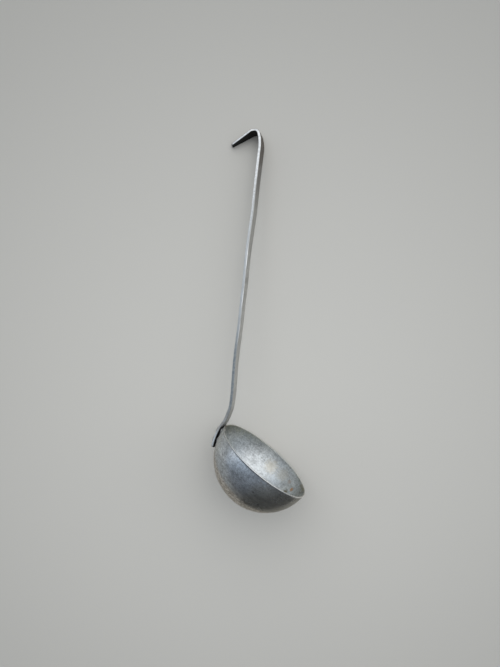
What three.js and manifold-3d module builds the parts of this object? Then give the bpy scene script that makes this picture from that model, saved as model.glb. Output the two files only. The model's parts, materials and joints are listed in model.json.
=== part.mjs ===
// Aluminium ladle: a pressed round bowl on a flat-bar handle that ends in an open hook.
// The bar's foot follows the back of the bowl and two solid rivets hold it there.
// Millimetres, +Z up. The ladle hangs plumb from the crown of its hook, at the origin.
// The bowl lies towards +X, the hook's limb towards -X, and Y = 0 is the plane of symmetry.
import * as THREE from 'three';
import { mergeVertices } from 'three/addons/utils/BufferGeometryUtils.js';
import Module from 'manifold-3d';

const wasm = await Module();
wasm.setup();

const DEG = Math.PI / 180;

// Bowl
const BOWL_RADIUS = 50; // outside of the pressed sphere
const BOWL_DEPTH = 48.6; // rim plane to the outside of the bottom
const BOWL_WALL = 1.2;
const RIM_BEAD_HEIGHT = 1.4; // the rounded bead pressed round the outside of the rim
const RIM_BEAD_PROUD = 0.6;

// Bar section, which changes along the handle
const BAR_THICKNESS = 3;
const FOOT_END_THICKNESS = 2.3; // beaten thinner past the last rivet
const HOOK_THICKNESS = 2.4; // drawn thinner by the bending
const NECK_WIDTH = 11; // just above the bowl
const GRIP_WIDTH = 14; // at the top of the grip
const CROWN_WIDTH = 12.5;
const TIP_WIDTH = 6;
const BAR_EDGE_RADIUS = 0.8;
const MOST_EDGE_SHARE = 0.45; // of the thickness or width, for the edge radius on a thin bar
const BAR_END_EASE = 1.2; // corners taken off both ends

// Run of the bar, from the bowl up to the hook's tip
const NECK_INSIDE_RADIUS = 32.5;
const NECK_ANGLE = 33.4 * DEG; // handle set back from the bowl's axis
const LOWER_RUN = 100;
const BOW_RADIUS = 400; // the faint bow halfway up
const BOW_ANGLE = 1 * DEG;
const UPPER_RUN = 153.2;
const SWEEP_INSIDE_RADIUS = 38; // the grip leans back before the hook's bend
const SWEEP_ANGLE = 22 * DEG;
const HOOK_INSIDE_RADIUS = 3.6;
const HOOK_ANGLE = 73.3 * DEG;
const CROWN_LENGTH = 2.3; // level stretch that bears on the nail
const CRIMP_INSIDE_RADIUS = 1.4;
const CRIMP_ANGLE = 29 * DEG;
const LIMB_LENGTH = 24.3;

// Rivets
const RIVET_COUNT = 2;
const SHANK_DIAMETER = 4.5;
const HEAD_OVERHANG = 1.75; // head beyond the shank, all round
const COLLAR_OVERHANG = 1.25; // collar swelled between the bowl and the bar
const INNER_HEAD_HEIGHT = 1.4;
const OUTER_HEAD_HEIGHT = 1.8;
const FIRST_RIVET_BELOW_RIM = 7.9; // along the middle of the bar
const HEAD_SPACING = 2; // between neighbouring heads
const FOOT_SIDE_MARGIN = 2; // bar beyond a head, each side
const FOOT_END_MARGIN = 7.5; // bar beyond the last rivet's axis

// Fits
const BEAD_CLEARANCE = 0.9; // rim bead to the bar's front face
const SEAT_GAP = 0.3; // between faces that bear on each other
const HOLE_CLEARANCE = 0.3; // shank to hole, all round

// Attitude
const HANG_LEAN = 37.7 * DEG; // bowl's axis from plumb, with the weight under the crown

// Facets
const BOWL_SEGMENTS = 72;
const BOWL_ARC_STEPS = 17;
const BEAD_STEPS = 4;
const RIVET_SEGMENTS = 24;
const DOME_STEPS = 5;
const EDGE_STEPS = 3;
const BEND_STEP = 8 * DEG;
const FOOT_STEP = 3.5 * DEG;

// Sizes that follow from those above
const innerRadius = BOWL_RADIUS - BOWL_WALL;
const rimZ = BOWL_DEPTH - BOWL_RADIUS;
const rimAngle = Math.asin(-rimZ / BOWL_RADIUS);
const barFront = BOWL_RADIUS + RIM_BEAD_PROUD + BEAD_CLEARANCE;
const barMiddle = barFront + BAR_THICKNESS / 2;
const barBack = barFront + BAR_THICKNESS;
const shankRadius = SHANK_DIAMETER / 2;
const headRadius = shankRadius + HEAD_OVERHANG;
const collarRadius = shankRadius + COLLAR_OVERHANG;
const footWidth = 2 * (headRadius + FOOT_SIDE_MARGIN);
const rivetPitch = 2 * headRadius + HEAD_SPACING;
const rivetSpan = FIRST_RIVET_BELOW_RIM + (RIVET_COUNT - 1) * rivetPitch;
const footAngle = rimAngle + (rivetSpan + FOOT_END_MARGIN) / barMiddle;

function solidFrom(geometry) {
  const bare = geometry.clone();
  bare.deleteAttribute('normal');
  bare.deleteAttribute('uv');
  const merged = mergeVertices(bare);
  const index = merged.index.array;
  const triangles = [];
  for (let i = 0; i < index.length; i += 3) {
    const [a, b, c] = index.slice(i, i + 3);
    if (a !== b && b !== c && c !== a) triangles.push(a, b, c);
  }
  return new wasm.Manifold(new wasm.Mesh({
    numProp: 3,
    vertProperties: new Float32Array(merged.attributes.position.array),
    triVerts: new Uint32Array(triangles),
  }));
}

function geometryFrom(solid) {
  const mesh = solid.getMesh();
  const geometry = new THREE.BufferGeometry();
  geometry.setAttribute('position', new THREE.BufferAttribute(mesh.vertProperties, 3));
  geometry.setIndex(new THREE.BufferAttribute(mesh.triVerts, 1));
  geometry.computeVertexNormals();
  return geometry;
}

// Points on a circle about the axis, from one angle below the level of its centre to another.
function meridian(radius, fromAngle, toAngle, steps) {
  const points = [];
  for (let i = 0; i <= steps; i += 1) {
    const angle = fromAngle + (toAngle - fromAngle) * i / steps;
    points.push(new THREE.Vector2(radius * Math.cos(angle), -radius * Math.sin(angle)));
  }
  return points;
}

// A closed profile turned about +Z. The profile starts and ends on the axis.
function turned(profile, segments) {
  profile[0].x = 0;
  profile[profile.length - 1].x = 0;
  return new THREE.LatheGeometry(profile, segments).rotateX(Math.PI / 2);
}

// Turns a piece whose axis is +Z to a rivet's place, square through the back of the bowl.
function rivetTurn(number) {
  const below = rimAngle + (FIRST_RIVET_BELOW_RIM + number * rivetPitch) / barMiddle;
  return -(Math.PI / 2 + below);
}

function cutRivetHoles(solid) {
  const depth = barBack - innerRadius + 2 * BAR_THICKNESS;
  let cut = solid;
  for (let number = 0; number < RIVET_COUNT; number += 1) {
    const radius = shankRadius + HOLE_CLEARANCE;
    const drill = new THREE.CylinderGeometry(radius, radius, depth, RIVET_SEGMENTS);
    drill.rotateX(Math.PI / 2);
    drill.translate(0, 0, (barBack + innerRadius) / 2);
    drill.rotateY(rivetTurn(number));
    cut = cut.subtract(solidFrom(drill));
  }
  return cut;
}

// The bowl is a shell of even wall, with a half-round bead round the outside of its rim.
function bowlGeometry() {
  const beadFoot = rimZ - RIM_BEAD_HEIGHT;
  const beadFootAngle = Math.asin(-beadFoot / BOWL_RADIUS);
  const profile = meridian(BOWL_RADIUS, Math.PI / 2, beadFootAngle, BOWL_ARC_STEPS);
  for (let i = 1; i <= BEAD_STEPS; i += 1) {
    const turn = -Math.PI / 2 + Math.PI * i / BEAD_STEPS;
    const z = rimZ - RIM_BEAD_HEIGHT / 2 * (1 - Math.sin(turn));
    const wall = Math.sqrt(BOWL_RADIUS ** 2 - z ** 2);
    profile.push(new THREE.Vector2(wall + RIM_BEAD_PROUD * Math.cos(turn), z));
  }
  const innerRimAngle = Math.asin(-rimZ / innerRadius);
  profile.push(...meridian(innerRadius, innerRimAngle, Math.PI / 2, BOWL_ARC_STEPS));
  return geometryFrom(cutRivetHoles(solidFrom(turned(profile, BOWL_SEGMENTS))));
}

// The bar's middle line in the plane of symmetry, walked from the end of the foot to the
// hook's tip. Each station keeps its place, its heading and the bar's section there.
function walkBar() {
  const stations = [{
    x: -barMiddle * Math.cos(footAngle),
    z: -barMiddle * Math.sin(footAngle),
    heading: Math.PI / 2 + footAngle,
    width: footWidth - 2 * BAR_END_EASE,
    thickness: FOOT_END_THICKNESS,
  }];

  const last = () => stations[stations.length - 1];

  function straight(length, width, thickness = last().thickness) {
    const { x, z, heading } = last();
    stations.push({
      x: x + length * Math.cos(heading),
      z: z + length * Math.sin(heading),
      heading,
      width,
      thickness,
    });
  }

  // A positive angle turns left, away from the bowl.
  function bend(radius, angle, width, thickness = last().thickness, step = BEND_STEP) {
    const from = last();
    const side = Math.sign(angle);
    const steps = Math.ceil(Math.abs(angle) / step);
    const centreX = from.x - side * radius * Math.sin(from.heading);
    const centreZ = from.z + side * radius * Math.cos(from.heading);
    for (let i = 1; i <= steps; i += 1) {
      const heading = from.heading + angle * i / steps;
      stations.push({
        x: centreX + side * radius * Math.sin(heading),
        z: centreZ - side * radius * Math.cos(heading),
        heading,
        width: from.width + (width - from.width) * i / steps,
        thickness: from.thickness + (thickness - from.thickness) * i / steps,
      });
    }
  }

  const easeAngle = BAR_END_EASE / barMiddle;
  const tailAngle = (FOOT_END_MARGIN - headRadius) / barMiddle;
  bend(barMiddle, -easeAngle, footWidth);
  bend(barMiddle, easeAngle - tailAngle, footWidth, BAR_THICKNESS, FOOT_STEP);
  bend(barMiddle, tailAngle - footAngle, footWidth, BAR_THICKNESS, FOOT_STEP);
  bend(NECK_INSIDE_RADIUS + BAR_THICKNESS / 2, NECK_ANGLE, NECK_WIDTH);
  const gripShare = LOWER_RUN / (LOWER_RUN + UPPER_RUN);
  const waistWidth = NECK_WIDTH + (GRIP_WIDTH - NECK_WIDTH) * gripShare;
  straight(LOWER_RUN, waistWidth);
  bend(BOW_RADIUS, -BOW_ANGLE, waistWidth);
  straight(UPPER_RUN, GRIP_WIDTH);
  bend(SWEEP_INSIDE_RADIUS + BAR_THICKNESS / 2, SWEEP_ANGLE, GRIP_WIDTH);
  bend(HOOK_INSIDE_RADIUS + BAR_THICKNESS / 2, HOOK_ANGLE, CROWN_WIDTH, HOOK_THICKNESS);
  const crown = { ...last() };
  straight(CROWN_LENGTH, CROWN_WIDTH);
  bend(CRIMP_INSIDE_RADIUS + HOOK_THICKNESS / 2, CRIMP_ANGLE, CROWN_WIDTH);
  straight(LIMB_LENGTH - BAR_END_EASE, TIP_WIDTH);
  straight(BAR_END_EASE, TIP_WIDTH - 2 * BAR_END_EASE);
  return { stations, crown };
}

// The bar's section: a flat rectangle with rounded edges, as [across, along Y] offsets.
function barSection(width, thickness) {
  const thinnest = Math.min(thickness, width);
  const radius = Math.min(BAR_EDGE_RADIUS, thinnest * MOST_EDGE_SHARE);
  const points = [];
  for (let corner = 0; corner < 4; corner += 1) {
    const acrossSide = corner === 0 || corner === 3 ? 1 : -1;
    const alongSide = corner < 2 ? 1 : -1;
    for (let i = 0; i <= EDGE_STEPS; i += 1) {
      const turn = (corner + i / EDGE_STEPS) * Math.PI / 2;
      points.push([
        acrossSide * (thickness / 2 - radius) + radius * Math.cos(turn),
        alongSide * (width / 2 - radius) + radius * Math.sin(turn),
      ]);
    }
  }
  return points;
}

// The section lofted from station to station, closed with a flat cap at each end.
function handleGeometry(stations) {
  const positions = [];
  const index = [];
  for (const { x, z, heading, width, thickness } of stations) {
    for (const [across, along] of barSection(width, thickness)) {
      positions.push(x - across * Math.sin(heading), along, z + across * Math.cos(heading));
    }
  }
  const count = 4 * (EDGE_STEPS + 1);
  for (let ring = 0; ring < stations.length - 1; ring += 1) {
    for (let i = 0; i < count; i += 1) {
      const a = ring * count + i;
      const b = ring * count + (i + 1) % count;
      index.push(a, b + count, b, a, a + count, b + count);
    }
  }
  const top = (stations.length - 1) * count;
  for (let i = 1; i < count - 1; i += 1) {
    index.push(0, i, i + 1);
    index.push(top, top + i + 1, top + i);
  }
  const geometry = new THREE.BufferGeometry();
  geometry.setAttribute('position', new THREE.Float32BufferAttribute(positions, 3));
  geometry.setIndex(index);
  return geometryFrom(cutRivetHoles(solidFrom(geometry)));
}

// A domed head's outline from its edge to the axis, rising by height along side * Z.
function domePoints(edgeZ, height, side) {
  const points = [];
  for (let i = 1; i <= DOME_STEPS; i += 1) {
    const turn = Math.PI / 2 * i / DOME_STEPS;
    points.push(new THREE.Vector2(
      headRadius * Math.cos(turn),
      edgeZ + side * height * Math.sin(turn),
    ));
  }
  return points;
}

// A rivet stands on the bowl's centre, so Z is the distance out through the wall and the bar.
// Its inner head is dished to the bowl, and a collar fills the gap between bowl and bar.
function rivetGeometry() {
  const seatRadius = innerRadius - SEAT_GAP;
  const seatEdge = Math.sqrt(seatRadius ** 2 - headRadius ** 2);
  const seatNeck = Math.sqrt(seatRadius ** 2 - shankRadius ** 2);
  const collarInner = BOWL_RADIUS + SEAT_GAP;
  const collarOuter = barFront - SEAT_GAP;
  const outerSeat = barBack + SEAT_GAP;
  const profile = domePoints(seatEdge, INNER_HEAD_HEIGHT, -1).reverse();
  profile.push(
    new THREE.Vector2(headRadius, seatEdge),
    new THREE.Vector2(shankRadius, seatNeck),
    new THREE.Vector2(shankRadius, collarInner),
    new THREE.Vector2(collarRadius, collarInner),
    new THREE.Vector2(collarRadius, collarOuter),
    new THREE.Vector2(shankRadius, collarOuter),
    new THREE.Vector2(shankRadius, outerSeat),
    new THREE.Vector2(headRadius, outerSeat),
    ...domePoints(outerSeat, OUTER_HEAD_HEIGHT, 1),
  );
  return turned(profile, RIVET_SEGMENTS);
}

function aluminium(color, roughness) {
  return new THREE.MeshStandardMaterial({ color, roughness, metalness: 1 });
}

function piece(name, geometry, material) {
  const mesh = new THREE.Mesh(geometry, material);
  mesh.name = name;
  return mesh;
}

const bar = walkBar();

// Pieces in the bowl's own frame: origin at the sphere's centre, +Z out of the mouth.
const hanging = new THREE.Group();
hanging.add(piece('bowl', bowlGeometry(), aluminium(0xa4a8aa, 0.42)));
hanging.add(piece('handle', handleGeometry(bar.stations), aluminium(0xaeada8, 0.48)));
const rivetNames = ['upper_rivet', 'lower_rivet'];
for (let number = 0; number < RIVET_COUNT; number += 1) {
  const name = rivetNames[number] ?? `rivet_${number + 1}`;
  const rivet = piece(name, rivetGeometry(), aluminium(0x9a9da0, 0.5));
  rivet.rotation.y = rivetTurn(number);
  hanging.add(rivet);
}

// Lean the bowl as the ladle hangs, and bring the underside of the hook's crown to the origin.
const inside = HOOK_THICKNESS / 2;
const crownX = bar.crown.x + CROWN_LENGTH / 2 * Math.cos(bar.crown.heading);
const crownZ = bar.crown.z + CROWN_LENGTH / 2 * Math.sin(bar.crown.heading);
const bearing = new THREE.Vector3(
  crownX - inside * Math.sin(bar.crown.heading),
  0,
  crownZ + inside * Math.cos(bar.crown.heading),
);
hanging.rotation.y = HANG_LEAN;
hanging.position.copy(bearing.applyAxisAngle(new THREE.Vector3(0, 1, 0), HANG_LEAN).negate());

const ladle = new THREE.Group();
ladle.add(hanging);

export default ladle;
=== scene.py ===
import json
import math

import bmesh
import bpy
import numpy as np
from mathutils import Matrix, Vector, noise


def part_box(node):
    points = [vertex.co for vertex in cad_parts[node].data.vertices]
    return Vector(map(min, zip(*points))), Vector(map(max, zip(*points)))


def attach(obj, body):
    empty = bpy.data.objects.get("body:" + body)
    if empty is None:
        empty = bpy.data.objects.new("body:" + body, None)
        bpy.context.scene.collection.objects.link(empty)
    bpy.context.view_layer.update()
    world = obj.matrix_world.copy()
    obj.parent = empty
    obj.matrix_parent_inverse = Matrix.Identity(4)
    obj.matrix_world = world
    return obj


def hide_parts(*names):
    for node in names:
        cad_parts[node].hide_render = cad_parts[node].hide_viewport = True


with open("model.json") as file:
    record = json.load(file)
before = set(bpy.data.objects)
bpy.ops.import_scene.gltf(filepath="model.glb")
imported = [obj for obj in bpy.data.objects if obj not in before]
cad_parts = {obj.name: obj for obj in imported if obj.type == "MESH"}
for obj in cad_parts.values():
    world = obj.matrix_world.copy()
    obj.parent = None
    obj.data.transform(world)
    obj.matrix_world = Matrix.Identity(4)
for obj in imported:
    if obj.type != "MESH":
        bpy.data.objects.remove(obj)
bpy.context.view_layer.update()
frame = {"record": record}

# Bowl
# One disc of sheet aluminium pressed into a half sphere, with a small bead rolled round the
# outside of its rim. Long use has left it dull grey, clouded, pitted, stained and faintly dented.
MM = 0.001
BOWL_RADIUS = 50 * MM
BOWL_DEPTH = 48.6 * MM
BOWL_WALL = 1.2 * MM
BEAD_HEIGHT = 0.9 * MM
BEAD_PROUD = 0.35 * MM
LIP_RADIUS = 0.4 * MM
RIM_RISE = 0.7 * MM
RIM_RISE_TURN = math.radians(60)
BOWL_SEGMENTS = 256
WALL_RINGS = 72
BEAD_RINGS = 8
WALL_WAVE = 0.05 * MM
WALL_WAVES_PER_RADIUS = 3.2
# Dents: direction from the bowl's centre in its own frame, depth and reach.
BOWL_DENTS = (
    ((-0.35, -0.80, -0.50), 0.20 * MM, 9 * MM),
    ((0.30, -0.75, -0.60), 0.25 * MM, 7 * MM),
    ((0.75, -0.45, -0.45), 0.20 * MM, 8 * MM),
    ((-0.20, -0.35, -0.90), 0.20 * MM, 10 * MM),
    ((0.45, 0.70, -0.55), 0.30 * MM, 9 * MM),
    ((-0.55, 0.60, -0.55), 0.25 * MM, 8 * MM),
)

mounts = {mount["name"]: mount for mount in frame["record"]["mounts"]}
bowl_axis = Vector(mounts["rim"]["axis"])
bowl_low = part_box("bowl")[0]
bowl_lean = math.atan2(bowl_axis.x, bowl_axis.z)
bowl_centre = Vector((bowl_low.x + BOWL_RADIUS, 0, bowl_low.z + BOWL_RADIUS))
bowl_to_row = Matrix.Translation(bowl_centre) @ Matrix.Rotation(bowl_lean, 4, "Y")
rim_height = BOWL_DEPTH - BOWL_RADIUS


def rim_level(angle):
    """Height of the rim: past the pouring lip it stands a little higher."""
    share = min(min(angle, 2 * math.pi - angle) / RIM_RISE_TURN, 1)
    return rim_height + RIM_RISE * share * share * (3 - 2 * share)


def bowl_profile(rim):
    """Radius and height of the wall's section, from the outside pole to the inside one."""
    inner = BOWL_RADIUS - BOWL_WALL
    points = []
    start = math.asin((BEAD_HEIGHT - rim) / BOWL_RADIUS)
    for angle in np.linspace(math.pi / 2, start, WALL_RINGS):
        points.append((BOWL_RADIUS * math.cos(angle), -BOWL_RADIUS * math.sin(angle)))
    for turn in np.linspace(-math.pi / 2, math.pi / 2, BEAD_RINGS + 1)[1:]:
        height = rim - BEAD_HEIGHT / 2 * (1 - math.sin(turn))
        wall = math.sqrt(BOWL_RADIUS ** 2 - height ** 2)
        points.append((wall + BEAD_PROUD * math.cos(turn), height))
    for turn in np.linspace(0, math.pi / 2, BEAD_RINGS):
        radius = inner + LIP_RADIUS * (1 - math.sin(turn))
        points.append((radius, rim - LIP_RADIUS * (1 - math.cos(turn))))
    start = math.asin((LIP_RADIUS - rim) / inner)
    for angle in np.linspace(start, math.pi / 2, WALL_RINGS)[1:]:
        points.append((inner * math.cos(angle), -inner * math.sin(angle)))
    return points


def bowl_dent(direction):
    """How far the wall is pushed in along a direction from the bowl's centre."""
    depth = WALL_WAVE * (1 + noise.noise(direction * WALL_WAVES_PER_RADIUS))
    for towards, most, reach in BOWL_DENTS:
        away = (direction - Vector(towards).normalized()).length * BOWL_RADIUS
        depth += most * math.exp(-(away / reach) ** 2)
    return depth


def mesh_object(name, vertices, faces):
    mesh = bpy.data.meshes.new(name)
    mesh.from_pydata(vertices, [], faces)
    mesh.shade_smooth()
    made = bpy.data.objects.new(name, mesh)
    bpy.context.scene.collection.objects.link(made)
    return made


def point_attribute(piece, name, values):
    attribute = piece.data.attributes.new(name, "FLOAT", "POINT")
    attribute.data.foreach_set("value", np.asarray(values, np.float32))


def make_bowl():
    angles = [2 * math.pi * step / BOWL_SEGMENTS for step in range(BOWL_SEGMENTS)]
    profiles = [bowl_profile(rim_level(angle)) for angle in angles]
    vertices = []
    inside = []
    below = []
    last = len(profiles[0]) - 1
    for ring in range(last + 1):
        for step in range(1 if ring in (0, last) else BOWL_SEGMENTS):
            angle = angles[step]
            radius, height = profiles[step][ring]
            place = Vector((radius * math.cos(angle), radius * math.sin(angle), height))
            direction = place.normalized()
            vertices.append(bowl_to_row @ (place - direction * bowl_dent(direction)))
            inside.append(1.0 if ring > last / 2 else 0.0)
            below.append(rim_level(angle) - height)
    faces = []
    pole = len(vertices) - 1
    for step in range(BOWL_SEGMENTS):
        after = (step + 1) % BOWL_SEGMENTS
        faces.append((0, 1 + after, 1 + step))
        for ring in range(last - 2):
            a = 1 + ring * BOWL_SEGMENTS
            b = a + BOWL_SEGMENTS
            faces.append((a + step, a + after, b + after, b + step))
        a = 1 + (last - 2) * BOWL_SEGMENTS
        faces.append((a + step, a + after, pole))
    made = mesh_object("bowl_shell", vertices, faces)
    point_attribute(made, "inside", inside)
    point_attribute(made, "below_rim", below)
    return made


def node(tree, kind, inputs=None, **options):
    """Adds a node, sets its options, and fills or links its inputs."""
    made = tree.nodes.new(kind)
    for name, value in options.items():
        setattr(made, name, value)
    for socket, value in (inputs or {}).items():
        if isinstance(value, bpy.types.NodeSocket):
            tree.links.new(value, made.inputs[socket])
        else:
            made.inputs[socket].default_value = value
    return made


def maths(tree, operation, *values, clamp=False):
    inputs = dict(enumerate(values))
    return node(tree, "ShaderNodeMath", inputs, operation=operation, use_clamp=clamp).outputs[0]


def product(tree, first, *others):
    for other in others:
        first = maths(tree, "MULTIPLY", first, other)
    return first


def add_up(tree, base, *parts):
    """A base and some values on top of it, each times its own weight."""
    for value, weight in parts:
        base = maths(tree, "MULTIPLY_ADD", value, weight, base)
    return base


def between(tree, share, first, second):
    """The value that lies a share of the way from one number to another."""
    return maths(tree, "MULTIPLY_ADD", share, second - first, first)


def apart(tree, value, place):
    return maths(tree, "ABSOLUTE", maths(tree, "SUBTRACT", value, place))


def ramp(tree, value, low, high, to_low=0.0, to_high=1.0):
    """A smooth step from one value to another."""
    inputs = {0: value, 1: low, 2: high, 3: to_low, 4: to_high}
    made = node(tree, "ShaderNodeMapRange", inputs, interpolation_type="SMOOTHSTEP")
    return made.outputs[0]


def vector_maths(tree, operation, first, second=None, output=0):
    inputs = {0: first} if second is None else {0: first, 1: second}
    return node(tree, "ShaderNodeVectorMath", inputs, operation=operation).outputs[output]


def blend(tree, share, first, second):
    inputs = {0: share, 6: first, 7: second}
    return node(tree, "ShaderNodeMix", inputs, data_type="RGBA").outputs[2]


def shaded(tree, colour, share):
    """A colour made lighter or darker, with its hue kept."""
    inputs = {0: colour, "Scale": share}
    return node(tree, "ShaderNodeVectorMath", inputs, operation="SCALE").outputs[0]


def attribute(tree, name):
    return node(tree, "ShaderNodeAttribute", attribute_name=name).outputs["Fac"]


def shader_group(name, inputs, output):
    """A node group with named inputs and one named value, and its two ends."""
    tree = bpy.data.node_groups.new(name, "ShaderNodeTree")
    for socket, kind in inputs.items():
        tree.interface.new_socket(socket, in_out="INPUT", socket_type="NodeSocket" + kind)
    tree.interface.new_socket(output, in_out="OUTPUT", socket_type="NodeSocketFloat")
    return tree, node(tree, "NodeGroupInput").outputs, node(tree, "NodeGroupOutput").inputs[0]


def cloud_group():
    """Soft uneven clouds, such as oxide leaves on old metal."""
    tree, given, result = shader_group(
        "clouds", {"Vector": "Vector", "Per metre": "Float", "Contrast": "Float"}, "Cloud"
    )
    inputs = {"Vector": given["Vector"], "Scale": given["Per metre"], "Detail": 5.0, "Roughness": 0.62}
    cloud = node(tree, "ShaderNodeTexNoise", inputs).outputs[0]
    away = maths(tree, "MULTIPLY", maths(tree, "SUBTRACT", cloud, 0.5), given["Contrast"])
    tree.links.new(maths(tree, "ADD", away, 0.5, clamp=True), result)
    return tree


def scratch_group():
    """Hairline scratches: long thin contour lines of a stretched noise, in patches."""
    tree, given, result = shader_group(
        "scratches", {"Vector": "Vector", "Stretch": "Vector", "Width": "Float"}, "Line"
    )
    drawn = vector_maths(tree, "MULTIPLY", given["Vector"], given["Stretch"])
    hair = node(tree, "ShaderNodeTexNoise", {"Vector": drawn, "Scale": 1.0, "Detail": 3.0})
    patch = node(tree, "ShaderNodeTexNoise", {"Vector": drawn, "Scale": 0.23, "Detail": 2.0})
    share = maths(tree, "DIVIDE", apart(tree, hair.outputs[0], 0.5), given["Width"])
    line = maths(tree, "SUBTRACT", 1.0, share, clamp=True)
    here = ramp(tree, patch.outputs[0], 0.42, 0.62)
    tree.links.new(maths(tree, "MULTIPLY", line, here), result)
    return tree


def pit_group():
    """Scattered small pits: a few cells of a cell pattern hold a dot each."""
    tree, given, result = shader_group(
        "pits",
        {"Vector": "Vector", "Per metre": "Float", "Share": "Float", "Size": "Float"},
        "Pit",
    )
    inputs = {"Vector": given["Vector"], "Scale": given["Per metre"]}
    cells = node(tree, "ShaderNodeTexVoronoi", inputs)
    parts = node(tree, "ShaderNodeSeparateColor", {0: cells.outputs["Color"]}).outputs
    chosen = maths(tree, "LESS_THAN", parts[0], given["Share"])
    size = maths(tree, "MULTIPLY", given["Size"], parts[1])
    share = maths(tree, "DIVIDE", cells.outputs["Distance"], size)
    dot = ramp(tree, share, 1.0, 0.4)
    tree.links.new(maths(tree, "MULTIPLY", chosen, dot), result)
    return tree


# How far the outline of a stain strays, as a share of its reach.
STAIN_RAGGED = 0.8


def stain_group():
    """One ragged spot round a place on the surface."""
    tree, given, result = shader_group(
        "stain", {"Vector": "Vector", "Place": "Vector", "Reach": "Float"}, "Stain"
    )
    away = vector_maths(tree, "DISTANCE", given["Vector"], given["Place"], "Value")
    inputs = {"Vector": given["Vector"], "Scale": 600.0, "Detail": 4.0, "Roughness": 0.65}
    ragged = node(tree, "ShaderNodeTexNoise", inputs).outputs[0]
    share = maths(tree, "DIVIDE", away, given["Reach"])
    ragged = between(tree, ragged, -STAIN_RAGGED, STAIN_RAGGED)
    share = maths(tree, "ADD", share, ragged)
    tree.links.new(ramp(tree, share, 1.0, 0.3), result)
    return tree


clouds = cloud_group()
scratches = scratch_group()
pits = pit_group()
stain = stain_group()


def use(tree, group, **inputs):
    """The value of one of the groups above; Per_metre stands for its input Per metre."""
    inputs = {name.replace("_", " "): value for name, value in inputs.items()}
    return node(tree, "ShaderNodeGroup", inputs, node_tree=group).outputs[0]


def on_bowl(around, below, inside=False):
    """A point of the wall: degrees round the axis from the pouring lip, and below the rim."""
    radius = BOWL_RADIUS - (BOWL_WALL if inside else 0)
    turn = math.radians(around)
    drop = math.radians(below)
    level = math.cos(drop)
    place = Vector((level * math.cos(turn), level * math.sin(turn), -math.sin(drop)))
    return bowl_to_row @ (place * radius)


INSIDE_CLEAN = (0.575, 0.595, 0.60, 1)
INSIDE_DULL = (0.51, 0.525, 0.525, 1)
OUTSIDE_CLEAN = (0.60, 0.64, 0.68, 1)
OUTSIDE_DULL = (0.41, 0.44, 0.475, 1)
BOWL_SCRATCH_AND_HIGHLIGHT = (0.84, 0.84, 0.84, 1)
BOWL_GRAZING = (0.78, 0.75, 0.69, 1)
BOWL_FILM = (0.33, 0.33, 0.253, 1)
BOWL_PAINTED_SHADE = (0.225, 0.22, 0.21, 1)
BEIGE = (0.62, 0.57, 0.47, 1)
WALL_REFLECTION_COLOUR = (0.69, 0.65, 0.61, 1)
PIT_COLOUR = (0.02, 0.02, 0.02, 1)
RUST_COLOUR = (0.30, 0.16, 0.07, 1)
OLIVE_COLOUR = (0.10, 0.09, 0.05, 1)
BROWN_COLOUR = (0.085, 0.07, 0.055, 1)
BLOTCH_COLOUR = (0.17, 0.14, 0.125, 1)
# Dried patches and spots on the bowl: where, how far they reach, how strong they are, and the
# spots' colour.
BOWL_PATCHES = (
    (on_bowl(80, 18, inside=True), 10 * MM, 0.60),
    (on_bowl(62, 15, inside=True), 10 * MM, 0.50),
)
BOWL_SPOTS = (
    (on_bowl(35.5, 16, inside=True), 2.8 * MM, 0.95, RUST_COLOUR),
    (on_bowl(39, 23.5, inside=True), 2.7 * MM, 0.95, OLIVE_COLOUR),
    (on_bowl(48, 13, inside=True), 3.2 * MM, 0.40, RUST_COLOUR),
    # The next two olive spots under the far rim are partly stains and partly a painted shadow of the
    # rim.
    (on_bowl(18, 2, inside=True), 7.5 * MM, 0.85, OLIVE_COLOUR),
    (on_bowl(27, 2, inside=True), 5.5 * MM, 0.80, OLIVE_COLOUR),
    (on_bowl(-172, 1), 5.5 * MM, 0.95, BROWN_COLOUR),
    (on_bowl(-74, 6), 1.8 * MM, 0.85, PIT_COLOUR),
    (on_bowl(-73.5, 20), 2.4 * MM, 0.95, PIT_COLOUR),
    (on_bowl(-57, 31.5), 2.2 * MM, 0.90, PIT_COLOUR),
    (on_bowl(-49.5, 4.5), 2.2 * MM, 0.85, PIT_COLOUR),
)
# How far the fine patterns lighten and darken the metal: a base, the mottling of each side, a grain
# that is weaker but a little brighter deep inside, and faint rings drawn round the axis.
UNEVEN_BASE = 0.70
MOTTLE_OUTSIDE = 0.18
MOTTLE_INSIDE = 0.30
GRAIN_AT_RIM = 0.40
GRAIN_DEEP = 0.24
DEEP_FROM = 8 * MM
DEEP_FULL = 24 * MM
DEEP_LIFT = 0.08
RING_SHARE = 0.22
RING_STRETCH = (0.12, 0.12, 1.0)
# A warm film hangs in a band under the rim, strongest inside and high up, with a thin line of it
# close under the lip. Lower down the bead has a painted highlight.
FILM_REACH = 14 * MM
FILM_SOLID = 2 * MM
FILM_OUTSIDE = 0.15
FILM_LEAST = 0.04
FILM_MOST = 0.72
FILM_UNEVEN = (0.4, 1.0)
FILM_FROM = bowl_centre.z - 0.05 * BOWL_RADIUS
FILM_FULL = bowl_centre.z + 0.42 * BOWL_RADIUS
LINE_REACH = 2.2 * MM
LINE_SOLID = 1.2 * MM
LINE_SHARE = 0.22
BEAD_HIGHLIGHT_TO = bowl_centre.z + 0.70 * BOWL_RADIUS
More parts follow.
